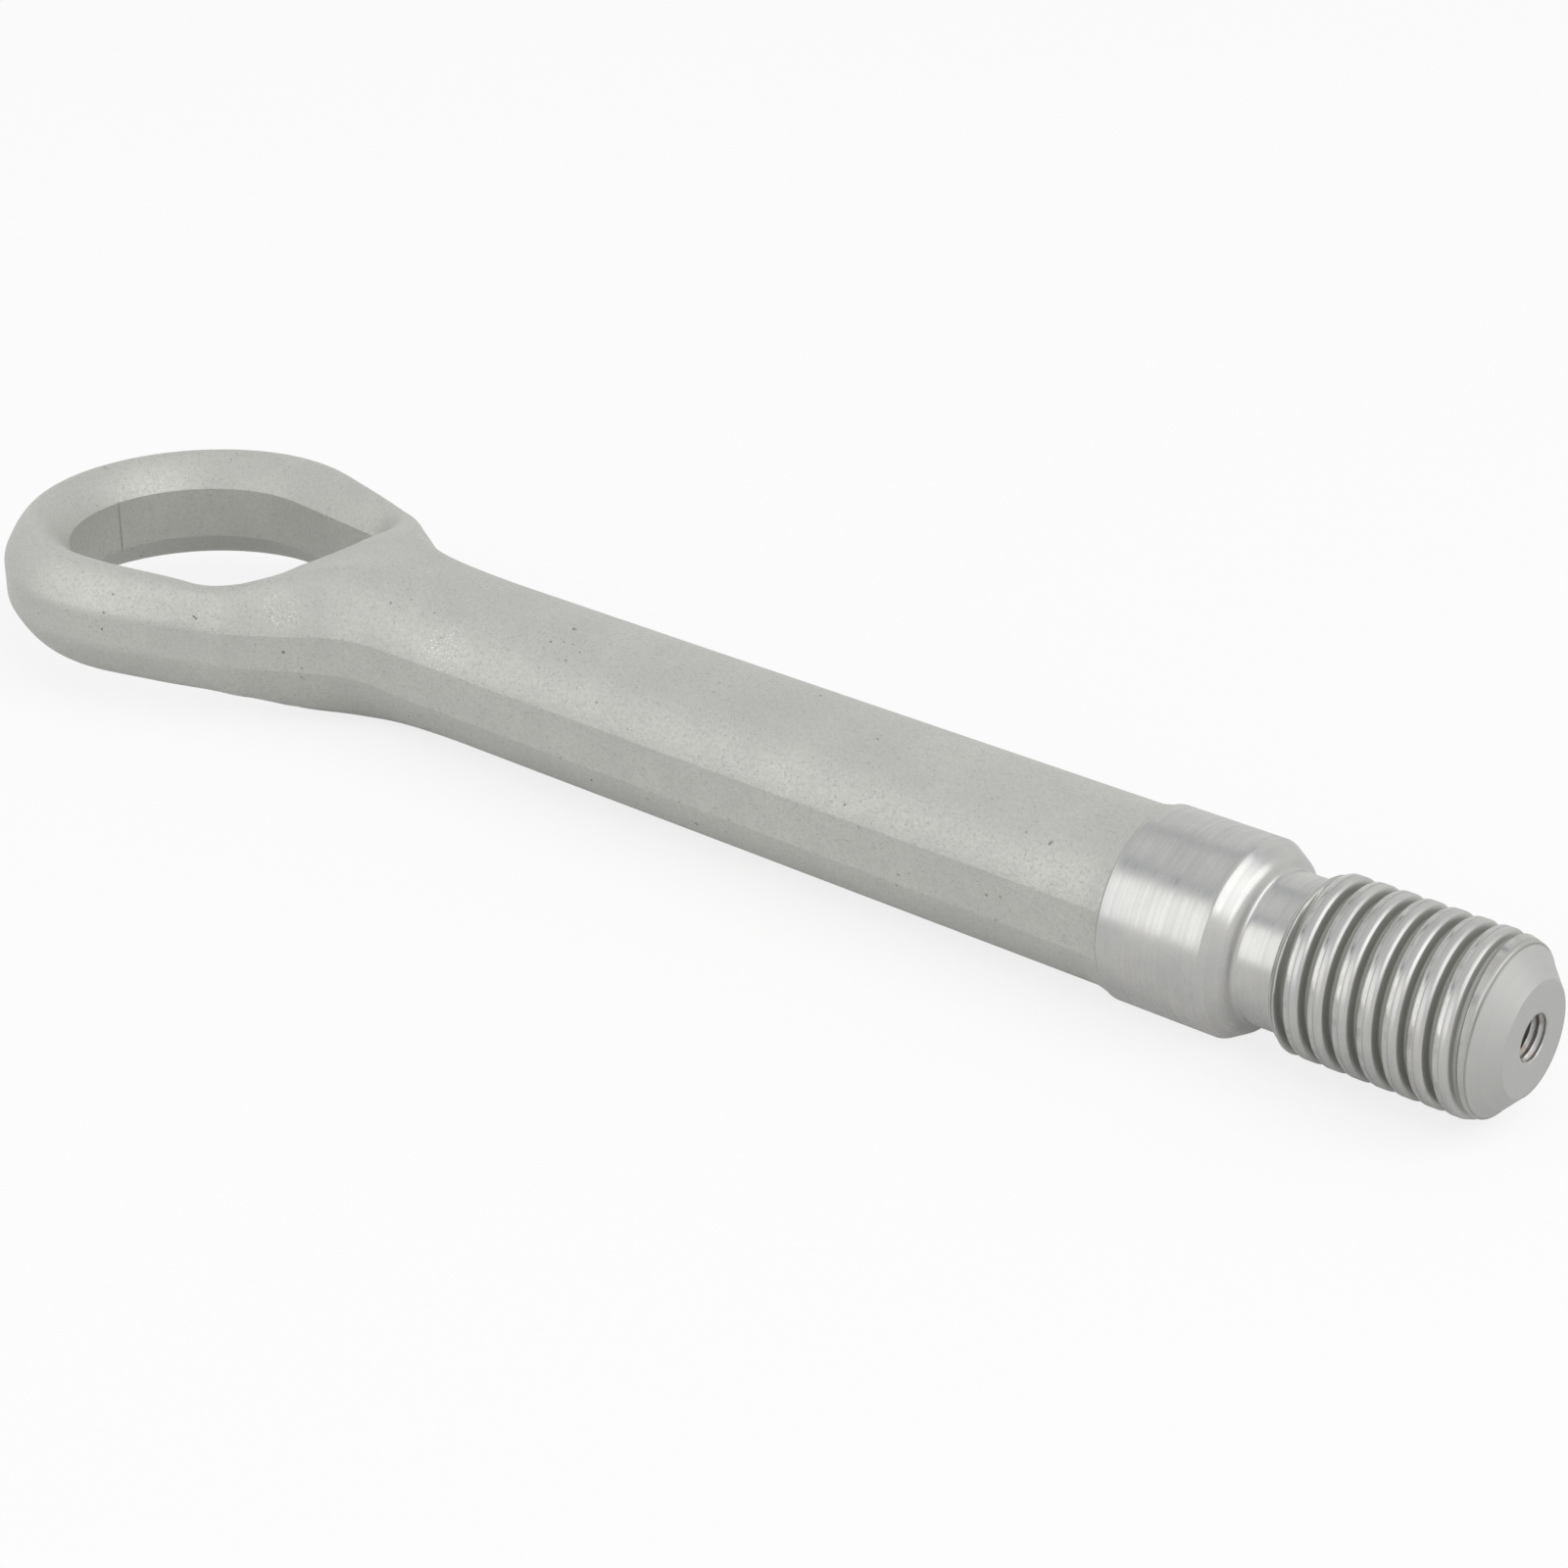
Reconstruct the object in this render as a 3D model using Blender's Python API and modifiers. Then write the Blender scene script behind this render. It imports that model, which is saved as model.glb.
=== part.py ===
"""Recovery tow hook: one steel forging with a flat eye at one end and a
turned collar, neck and coarse right-hand thread at the other.

Metres, +Z up. The axis of the shank runs along X and the threaded end
points to +X. The eye lies flat, its hole open along Z. The origin is at
the bottom centre of the bounding box.
"""

import math

import bmesh
import bpy
import numpy as np

MM = 0.001

# Turned end, lengths in mm from the rear face of the collar
COLLAR_D = 20.0
COLLAR_L = 11.35
COLLAR_NOSE_D = 16.9
COLLAR_NOSE_L = 2.85
NECK_D = 15.35
NECK_L = 1.9
NECK_FILLET = 0.35
THREAD_D = 17.95
THREAD_PITCH = 2.6
THREAD_DEPTH = 1.15
THREAD_START = 19.7
THREAD_END = 37.3
RUN_IN_D = 16.8
RUN_IN_L = 1.8
GROOVE_MOUTH = 1.0
GROOVE_FLOOR = 0.4
CREST_FLAT = 0.7
CREST_DROP = 0.2
TIP_D = 17.0
TIP_END = 38.35
END_FACE_D = 11.5
END_FACE = 41.15
GROOVE_START = 16.1
GROOVE_TURNS = 9
CENTRE_HOLE_D = 4.76
CENTRE_HOLE_DEPTH = 8.0

# Shank: a round bar with its flash trimmed to two flats
SHANK_D = 18.68
FLAT_CUT = 0.34
FLATS_ACROSS = SHANK_D - 2.0 * FLAT_CUT
FLARE_L = 2.6
FLARE_RISE = 0.46
FLARE_D = SHANK_D + 2.0 * FLARE_RISE

# Eye outline, mm, in the plane of the ring
RING_X = -136.1
RING_R = 22.7
SHOULDER_X = -118.2
SHOULDER_Y = 8.1
SHOULDER_R = 9.4
THROAT_SLOPE = 32.0
THROAT_R = 12.0
HOLE_X = -137.6
HOLE_R = 14.7
HOLE_END = -115.3
HOLE_CORNER_Y = 8.2
HOLE_CORNER_R = 4.2

# Eye section, mm: the ring's own sizes and where they turn into the shank's
RING_T = 13.8
RING_BAND = 4.4
RING_CROWN = 4.2
TOP_START = -128.5
TOP_END = -111.5
EDGE_START = -113.0
EDGE_END = -87.0
WALL_T = 5.0
WALL_SLOPE = 4.5
WEB_START = -119.6
WEB_END = -103.2
WEB_T = 8.5
WEB_SLOPE = 14.5
SLOPE_POWER = 2.0

# Mesh density
RING_STEPS = 38
HOLE_END_STEPS = 5
THROAT_STEPS = 14
ACROSS_STEPS = 10
TURN_STEPS = 40

ORIGIN_X = 0.5 * (END_FACE + RING_X - RING_R)
ORIGIN_Z = -0.5 * COLLAR_D


def clear_scene() -> None:
    """Remove every object, mesh, material and collection."""
    for item in list(bpy.data.objects):
        bpy.data.objects.remove(item, do_unlink=True)
    for item in list(bpy.data.meshes):
        bpy.data.meshes.remove(item)
    for item in list(bpy.data.materials):
        bpy.data.materials.remove(item)
    for item in list(bpy.data.collections):
        bpy.data.collections.remove(item)


def material(name: str, colour: tuple, roughness: float, metallic: float):
    """Return a plain Principled material."""
    made = bpy.data.materials.new(name)
    made.use_nodes = True
    shader = made.node_tree.nodes["Principled BSDF"]
    shader.inputs["Base Color"].default_value = (*colour, 1.0)
    shader.inputs["Roughness"].default_value = roughness
    shader.inputs["Metallic"].default_value = metallic
    made.diffuse_color = (*colour, 1.0)
    return made


def add_object(name: str, verts: list, faces: list, group):
    """Add a mesh object from points in mm on the axis frame."""
    mesh = bpy.data.meshes.new(name)
    scaled = [(x * MM, y * MM, z * MM) for x, y, z in verts]
    mesh.from_pydata(scaled, [], faces)
    made = bpy.data.objects.new(name, mesh)
    group.objects.link(made)
    return made


def arc(cx: float, cy: float, radius: float, start: float, end: float, steps: int) -> np.ndarray:
    """Points on an arc, both ends included."""
    angles = np.linspace(start, end, steps + 1)
    return np.column_stack([cx + radius * np.cos(angles), cy + radius * np.sin(angles)])


def tangent_angle(dx: float, dy: float, r_from: float, r_to: float) -> float:
    """Angle of the upper outside tangent's normal between two circles."""
    reach = math.hypot(dx, dy)
    return math.atan2(dy, dx) + math.acos((r_from - r_to) / reach)


def hole_outline(ring: int, corner: int) -> np.ndarray:
    """Upper half of the eye's hole, from its round end to its flat end."""
    cx = HOLE_END - HOLE_CORNER_R
    turn = tangent_angle(cx - HOLE_X, HOLE_CORNER_Y, HOLE_R, HOLE_CORNER_R)
    round_end = arc(HOLE_X, 0.0, HOLE_R, math.pi, turn, ring)
    bend = arc(cx, HOLE_CORNER_Y, HOLE_CORNER_R, turn, 0.0, corner)
    return np.vstack([round_end, bend])


def throat_centre() -> tuple:
    """Centre of the concave arc from the sloping side to the shank's flat."""
    slope = math.radians(THROAT_SLOPE)
    nx = math.sin(slope)
    ny = math.cos(slope)
    level = nx * SHOULDER_X + ny * SHOULDER_Y + SHOULDER_R
    cy = 0.5 * FLATS_ACROSS + THROAT_R
    return (level + THROAT_R - ny * cy) / nx, cy


def outer_outline(ring: int, corner: int, throat: int) -> np.ndarray:
    """Upper half of the outline, from the round end to the shank's flat."""
    cx, cy = throat_centre()
    turn = tangent_angle(SHOULDER_X - RING_X, SHOULDER_Y, RING_R, SHOULDER_R)
    normal = 0.5 * math.pi - math.radians(THROAT_SLOPE)
    round_end = arc(RING_X, 0.0, RING_R, math.pi, turn, ring)
    shoulder = arc(SHOULDER_X, SHOULDER_Y, SHOULDER_R, turn, normal, corner)
    hollow = arc(cx, cy, THROAT_R, normal + math.pi, 1.5 * math.pi, throat)
    return np.vstack([round_end, shoulder, hollow])


def resample(line: np.ndarray, shares: np.ndarray) -> np.ndarray:
    """Points at the given shares of a line's length."""
    steps = np.hypot(*np.diff(line, axis=0).T)
    run = np.concatenate([[0.0], np.cumsum(steps)])
    at = shares * run[-1]
    return np.column_stack([np.interp(at, run, line[:, 0]), np.interp(at, run, line[:, 1])])


def distance(points: np.ndarray, line: np.ndarray) -> np.ndarray:
    """Shortest distance from each point to a line of segments."""
    start = line[:-1]
    along = line[1:] - start
    square = np.maximum((along ** 2).sum(1), 1e-12)
    offset = points[:, None, :] - start[None]
    share = np.clip((offset * along[None]).sum(2) / square, 0.0, 1.0)
    gap = offset - share[..., None] * along[None]
    return np.sqrt((gap ** 2).sum(2)).min(1)


def smooth_step(value: np.ndarray, low: float, high: float) -> np.ndarray:
    """Blend from 0 at low to 1 at high with level ends."""
    share = np.clip((value - low) / (high - low), 0.0, 1.0)
    return share * share * (3.0 - 2.0 * share)


def between(share: np.ndarray, first, last) -> np.ndarray:
    """Size that turns from the first value into the last with the share."""
    return first + (last - first) * share


def surface_height(points: np.ndarray) -> np.ndarray:
    """Half thickness of the forging above its parting plane.

    Full height, times a rise from the trimmed band over the crown's width, a
    parabola on the ring that turns into the bar's circle, times a parabolic
    rise from the hole's wall over the slope's width.
    """
    shank = 0.5 * SHANK_D
    flat = 0.5 * FLATS_ACROSS
    top = between(smooth_step(points[:, 0], TOP_START, TOP_END), 0.5 * RING_T, shank)
    edge_share = smooth_step(points[:, 0], EDGE_START, EDGE_END)
    edge = between(edge_share, 0.5 * RING_BAND, math.sqrt(shank ** 2 - flat ** 2))
    crown = between(edge_share, RING_CROWN, flat)
    web_share = smooth_step(points[:, 0], WEB_START, WEB_END)
    wall = between(web_share, 0.5 * WALL_T, 0.5 * WEB_T)
    slope = between(web_share, WALL_SLOPE, WEB_SLOPE)
    outline = np.vstack([outer_outline(90, 12, 24), [[0.0, flat]]])
    hole = np.vstack([hole_outline(90, 24), [[HOLE_END, 0.0]]])
    near_edge = np.clip(1.0 - distance(points, outline) / crown, 0.0, 1.0)
    near_hole = np.clip(1.0 - distance(points, hole) / slope, 0.0, 1.0)
    soft = 1.0 - (1.0 - edge / top) * near_edge ** 2
    round_bar = np.sqrt(1.0 - (1.0 - (edge / top) ** 2) * near_edge ** 2)
    outer = between(edge_share, soft, round_bar)
    inner = 1.0 - (1.0 - wall / top) * near_hole ** SLOPE_POWER
    return top * outer * inner


def plan_rows() -> np.ndarray:
    """Rows of plan points from the outer outline in to the hole or the axis."""
    flat = 0.5 * FLATS_ACROSS
    last = max(throat_centre()[0], TOP_END, EDGE_END, WEB_END)
    side = resample(hole_outline(90, 24), np.linspace(0.0, 1.0, RING_STEPS + 1))
    drop = np.linspace(HOLE_CORNER_Y, 0.0, HOLE_END_STEPS + 1)[1:]
    lead = np.linspace(0.0, 1.0, THROAT_STEPS + 1)[1:] ** 1.25
    inner = np.vstack([
        side,
        np.column_stack([np.full(HOLE_END_STEPS, HOLE_END), drop]),
        np.column_stack([HOLE_END + (last - HOLE_END) * lead, np.zeros(THROAT_STEPS)]),
    ])
    line = outer_outline(90, 12, 24)
    head = line[:-25]
    rest = np.vstack([line[-26:], [[last, flat]]])
    tail = HOLE_END_STEPS + THROAT_STEPS
    outer = np.vstack([
        resample(head, np.linspace(0.0, 1.0, RING_STEPS + 1)),
        resample(rest, np.linspace(0.0, 1.0, tail + 1))[1:],
    ])
    even = np.linspace(0.0, math.pi, ACROSS_STEPS + 1)
    ring_share = 0.5 - 0.5 * np.cos(even)
    reach = math.asin(FLATS_ACROSS / SHANK_D)
    bar_share = 1.0 - np.sin(reach * (1.0 - even / math.pi)) / math.sin(reach)
    index = np.arange(len(inner), dtype=float)
    turn = smooth_step(index, RING_STEPS + 0.0, len(inner) - 1.0)[:, None]
    share = ring_share[None] * (1.0 - turn) + bar_share[None] * turn
    return outer[:, None] * (1.0 - share[..., None]) + inner[:, None] * share[..., None]


def shank_rows() -> list:
    """Rows of points round a quarter of the bar, from its flat to its top."""
    reach = math.asin(FLATS_ACROSS / SHANK_D)
    stations = [(-FLARE_L, SHANK_D), (-0.4 * FLARE_L, SHANK_D + 0.35 * (FLARE_D - SHANK_D))]
    stations += [(0.0, FLARE_D), (0.5 * COLLAR_L, FLARE_D)]
    rows = []
    for x, dia in stations:
        turn = [reach * (1.0 - step / ACROSS_STEPS) for step in range(ACROSS_STEPS + 1)]
        rows.append([(x, 0.5 * dia * math.sin(a), 0.5 * dia * math.cos(a)) for a in turn])
    return rows


def make_forging(group, look):
    """Quarter of the forging, closed by mirrors across both planes."""
    plan = plan_rows()
    height = surface_height(plan.reshape(-1, 2)).reshape(plan.shape[:2])
    rows = []
    for row, tall in zip(plan, height):
        rows.append([(x, y, z) for (x, y), z in zip(row, tall)])
    rows += shank_rows()
    count = ACROSS_STEPS + 1
    verts = [point for row in rows for point in row]
    faces = []
    for i in range(len(rows) - 1):
        for j in range(ACROSS_STEPS):
            at = i * count + j
            faces.append((at, at + count, at + count + 1, at + 1))
    band = len(verts)
    verts += [(row[0][0], row[0][1], 0.0) for row in rows]
    for i in range(len(rows) - 1):
        faces.append((i * count, band + i, band + i + 1, (i + 1) * count))
    wall = len(verts)
    hole_rows = RING_STEPS + HOLE_END_STEPS + 1
    verts += [(row[-1][0], row[-1][1], 0.0) for row in rows[:hole_rows]]
    for i in range(hole_rows - 1):
        at = (i + 1) * count - 1
        faces.append((at, at + count, wall + i + 1, wall + i))
    end = (len(rows) - 1) * count
    verts.append((rows[-1][0][0], 0.0, 0.0))
    faces.append(tuple(range(end, end + count)) + (len(verts) - 1, band + len(rows) - 1))
    made = add_object("forging", verts, faces, group)
    made.data.materials.append(look)
    mirror = made.modifiers.new("halves", "MIRROR")
    mirror.use_axis = (False, True, True)
    mirror.use_clip = True
    mirror.merge_threshold = 0.00001
    return made


def spin(name: str, profile: list, group, look):
    """Turn a profile of (length, radius) points round the X axis."""
    verts = [(length, radius, 0.0) for length, radius in profile]
    made = add_object(name, verts, [], group)
    made.data.edges.add(len(verts) - 1)
    for i, edge in enumerate(made.data.edges):
        edge.vertices = (i, i + 1)
    made.data.materials.append(look)
    turn = made.modifiers.new("turn", "SCREW")
    turn.axis = "X"
    turn.steps = TURN_STEPS
    turn.render_steps = TURN_STEPS
    turn.use_merge_vertices = True
    turn.merge_threshold = 0.00001
    turn.use_normal_calculate = True
    return made


def turned_profile() -> list:
    """Profile of the collar, neck, thread blank, tip and end face."""
    collar = 0.5 * COLLAR_D
    nose = COLLAR_L + COLLAR_NOSE_L
    neck = 0.5 * NECK_D
    neck_end = nose + NECK_FILLET + NECK_L
    crest = 0.5 * THREAD_D
    run_in = 0.5 * RUN_IN_D
    return [
        (0.0, 0.0),
        (0.0, collar),
        (COLLAR_L - 0.25, collar),
        (COLLAR_L + 0.2, collar - 0.12),
        (nose - 0.15, 0.5 * COLLAR_NOSE_D + 0.08),
        (nose + 0.05, 0.5 * COLLAR_NOSE_D - 0.12),
        (nose + 0.12, neck + NECK_FILLET),
        (nose + NECK_FILLET, neck),
        (neck_end, neck),
        (neck_end + run_in - neck, run_in),
        (neck_end + RUN_IN_L, run_in),
        (THREAD_START, crest),
        (THREAD_END, crest),
        (TIP_END, 0.5 * TIP_D),
        (END_FACE, 0.5 * END_FACE_D),
        (END_FACE, 0.0),
    ]


def groove_profile() -> list:
    """Closed section of the thread's groove with its rounded crest edges."""
    crest = 0.5 * THREAD_D
    floor = crest - THREAD_DEPTH
    half = [
        (0.5 * (THREAD_PITCH - CREST_FLAT) + 0.35, crest + 0.35),
        (0.5 * (THREAD_PITCH - CREST_FLAT), crest),
        (0.5 * GROOVE_MOUTH, crest - CREST_DROP),
        (0.5 * GROOVE_FLOOR, floor),
    ]
    mirrored = [(-x, r) for x, r in reversed(half)]
    return half + mirrored


def cut_thread(blank, group):
    """Cut the right-hand groove along a helix that runs past both ends."""
    points = [(GROOVE_START + x, -radius, 0.0) for x, radius in groove_profile()]
    made = add_object("thread_groove", points, [], group)
    made.data.edges.add(len(points))
    for i, edge in enumerate(made.data.edges):
        edge.vertices = (i, (i + 1) % len(points))
    turn = made.modifiers.new("helix", "SCREW")
    turn.axis = "X"
    turn.steps = TURN_STEPS
    turn.render_steps = TURN_STEPS
    turn.screw_offset = THREAD_PITCH * MM
    turn.iterations = GROOVE_TURNS
    bake(made)
    solid = bmesh.new()
    solid.from_mesh(made.data)
    rims = [edge for edge in solid.edges if edge.is_boundary]
    bmesh.ops.holes_fill(solid, edges=rims, sides=0)
    bmesh.ops.recalc_face_normals(solid, faces=solid.faces)
    solid.to_mesh(made.data)
    solid.free()
    combine(blank, made, "DIFFERENCE")


def bake(made) -> None:
    """Replace an object's mesh with the result of its modifiers."""
    bpy.context.view_layer.update()
    graph = bpy.context.evaluated_depsgraph_get()
    result = bpy.data.meshes.new_from_object(made.evaluated_get(graph))
    made.modifiers.clear()
    made.data = result


def combine(target, other, operation: str) -> None:
    """Apply one exact Boolean to the target."""
    step = target.modifiers.new(other.name, "BOOLEAN")
    step.operation = operation
    step.solver = "EXACT"
    step.object = other
    bake(target)


def hide(made) -> None:
    """Keep a cutter out of the render and show it as wire."""
    made.hide_render = True
    made.display_type = "WIRE"


def finish(made) -> None:
    """Weld, orient and shade the finished solid."""
    solid = bmesh.new()
    solid.from_mesh(made.data)
    bmesh.ops.remove_doubles(solid, verts=solid.verts, dist=0.000001)
    bmesh.ops.dissolve_degenerate(solid, edges=solid.edges, dist=0.000001)
    bmesh.ops.translate(solid, verts=solid.verts, vec=(-ORIGIN_X * MM, 0.0, -ORIGIN_Z * MM))
    bmesh.ops.recalc_face_normals(solid, faces=solid.faces)
    solid.to_mesh(made.data)
    solid.free()
    made.data.shade_smooth()
    made.data.set_sharp_from_angle(angle=math.radians(32.0))


def main() -> None:
    """Build the tow hook."""
    clear_scene()
    parts = bpy.data.collections.new("recovery_tow_hook")
    cutters = bpy.data.collections.new("cutters")
    bpy.context.scene.collection.children.link(parts)
    bpy.context.scene.collection.children.link(cutters)
    steel = material("steel", (0.60, 0.59, 0.57), 0.42, 0.85)
    hook = spin("tow_hook", turned_profile(), parts, steel)
    bake(hook)
    cut_thread(hook, cutters)
    forging = make_forging(cutters, steel)
    bake(forging)
    combine(hook, forging, "UNION")
    depth = END_FACE - CENTRE_HOLE_DEPTH
    radius = 0.5 * CENTRE_HOLE_D
    drill = [(END_FACE + 1.0, 0.0), (END_FACE + 1.0, radius), (depth, radius), (depth - 0.6 * radius, 0.0)]
    hole = spin("centre_hole", drill, cutters, steel)
    bake(hole)
    combine(hook, hole, "DIFFERENCE")
    for made in list(cutters.objects):
        hide(made)
    finish(hook)


main()
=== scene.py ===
import logging
import math
from dataclasses import dataclass
from enum import Enum
from typing import Any

import bmesh
import bpy
import numpy as np
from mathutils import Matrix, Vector


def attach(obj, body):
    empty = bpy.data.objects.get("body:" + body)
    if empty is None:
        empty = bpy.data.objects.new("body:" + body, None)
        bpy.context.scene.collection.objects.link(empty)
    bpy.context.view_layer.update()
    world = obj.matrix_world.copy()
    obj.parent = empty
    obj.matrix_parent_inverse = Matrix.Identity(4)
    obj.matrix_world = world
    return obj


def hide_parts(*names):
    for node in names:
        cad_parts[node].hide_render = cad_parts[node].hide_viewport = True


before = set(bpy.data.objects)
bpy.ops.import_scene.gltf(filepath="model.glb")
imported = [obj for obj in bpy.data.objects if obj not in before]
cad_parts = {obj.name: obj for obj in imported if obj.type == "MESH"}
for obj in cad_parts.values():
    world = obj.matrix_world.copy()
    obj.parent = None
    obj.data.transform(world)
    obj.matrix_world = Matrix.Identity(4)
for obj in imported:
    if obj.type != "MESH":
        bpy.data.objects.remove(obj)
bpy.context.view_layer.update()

MM = 0.001
TURN = 2.0 * math.pi
LOG = logging.getLogger("tow_hook")

Span = tuple[float, float]
Place = tuple[float, float, float]
Tone = tuple[float, float, float, float]


class Side(Enum):
    """Which half of the forging a mirrored copy lies on."""

    NEAR = -1.0
    FAR = 1.0


def smooth_step(value: np.ndarray, low: float, high: float) -> np.ndarray:
    """Blend from 0 at low to 1 at high with level ends.

    Args:
        value: Where to read the blend.
        low: Start of the blend.
        high: End of the blend.

    Returns:
        The share, 3t squared less 2t cubed.
    """
    share = np.clip((value - low) / (high - low), 0.0, 1.0)
    return share * share * (3.0 - 2.0 * share)


def between(share: np.ndarray, first: float | np.ndarray, last: float | np.ndarray) -> np.ndarray:
    """Size that turns from the first value into the last with the share."""
    return first + (last - first) * share


def arc(cx: float, cy: float, radius: float, start: float, end: float, steps: int) -> np.ndarray:
    """Points on a circle's arc: centre plus radius times (cos, sin).

    Args:
        cx: Centre, first coordinate.
        cy: Centre, second coordinate.
        radius: Radius of the circle.
        start: First angle in radians.
        end: Last angle in radians.
        steps: Number of chords.

    Returns:
        Array of steps + 1 points.
    """
    angles = np.linspace(start, end, steps + 1)
    return np.column_stack([cx + radius * np.cos(angles), cy + radius * np.sin(angles)])


def tangent_turn(dx: float, dy: float, first_r: float, second_r: float) -> float:
    """Angle at which one straight side touches two circles.

    The angle to the second centre, plus the angle whose cosine is the
    difference of the radii over the distance of the centres.

    Args:
        dx: Second centre from the first, first coordinate.
        dy: Second centre from the first, second coordinate.
        first_r: Radius of the first circle.
        second_r: Radius of the second circle.

    Returns:
        The angle in radians, the same on both circles.
    """
    return math.atan2(dy, dx) + math.acos((first_r - second_r) / math.hypot(dx, dy))


def resample(line: np.ndarray, shares: np.ndarray) -> np.ndarray:
    """Points at the given shares of a line's length.

    Args:
        line: Points of the line.
        shares: Shares from 0 to 1.

    Returns:
        One point for each share.
    """
    steps = np.hypot(*np.diff(line, axis=0).T)
    run = np.concatenate([[0.0], np.cumsum(steps)])
    at = shares * run[-1]
    return np.column_stack([np.interp(at, run, line[:, 0]), np.interp(at, run, line[:, 1])])


def distance(points: np.ndarray, line: np.ndarray) -> np.ndarray:
    """Shortest distance from each point to a chain of segments.

    Args:
        points: Points to measure from.
        line: Points of the chain.

    Returns:
        One distance for each point.
    """
    best = np.full(len(points), np.inf)
    for start, end in zip(line[:-1], line[1:]):
        along = end - start
        share = np.clip((points - start) @ along / max(float(along @ along), 1e-12), 0.0, 1.0)
        gap = points - start - share[:, None] * along
        best = np.minimum(best, np.sqrt((gap ** 2).sum(1)))
    return best


class MeshStock:
    """Collects grids of points and turns them into one welded mesh."""

    def __init__(self) -> None:
        """Start with no grids."""
        self.points: list[np.ndarray] = []
        self.quads: list[np.ndarray] = []
        self.count = 0

    def grid(self, surface: np.ndarray) -> None:
        """Add a grid surface as quads.

        Args:
            surface: Points as an array of rows, columns and three coordinates, in mm.
        """
        rows, columns = surface.shape[:2]
        index = np.arange(rows * columns).reshape(rows, columns) + self.count
        corners = [index[:-1, :-1], index[1:, :-1], index[1:, 1:], index[:-1, 1:]]
        self.quads.append(np.stack(corners, axis=-1).reshape(-1, 4))
        self.points.append(surface.reshape(-1, 3))
        self.count += rows * columns

    def piece(self, name: str, weld: float = 0.002) -> bpy.types.Object:
        """Make one object in metres in the part's frame, welded and facing outwards.

        Args:
            name: Name of the object.
            weld: Distance in mm under which points are one.

        Returns:
            The new object, linked to the scene.
        """
        points = np.concatenate(self.points)
        quads = np.concatenate(self.quads)
        mesh = bpy.data.meshes.new(name)
        mesh.from_pydata((points * MM).tolist(), [], quads.tolist())
        made = bpy.data.objects.new(name, mesh)
        bpy.context.scene.collection.objects.link(made)
        work = bmesh.new()
        work.from_mesh(mesh)
        bmesh.ops.remove_doubles(work, verts=work.verts, dist=weld * MM)
        bmesh.ops.dissolve_degenerate(work, edges=work.edges, dist=0.2 * weld * MM)
        bmesh.ops.recalc_face_normals(work, faces=work.faces)
        work.to_mesh(mesh)
        work.free()
        mesh.shade_smooth()
        return made


@dataclass(frozen=True)
class Placing:
    """Where the axis frame, with its origin at the collar's rear face, lies in the part's frame."""

    rear_to_origin: float = 58.825
    axis_height: float = 10.0

    def to_part(self, surface: np.ndarray) -> np.ndarray:
        """Shift points from the axis frame to the part's frame, in mm."""
        return surface + np.array([self.rear_to_origin, 0.0, self.axis_height])


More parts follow.
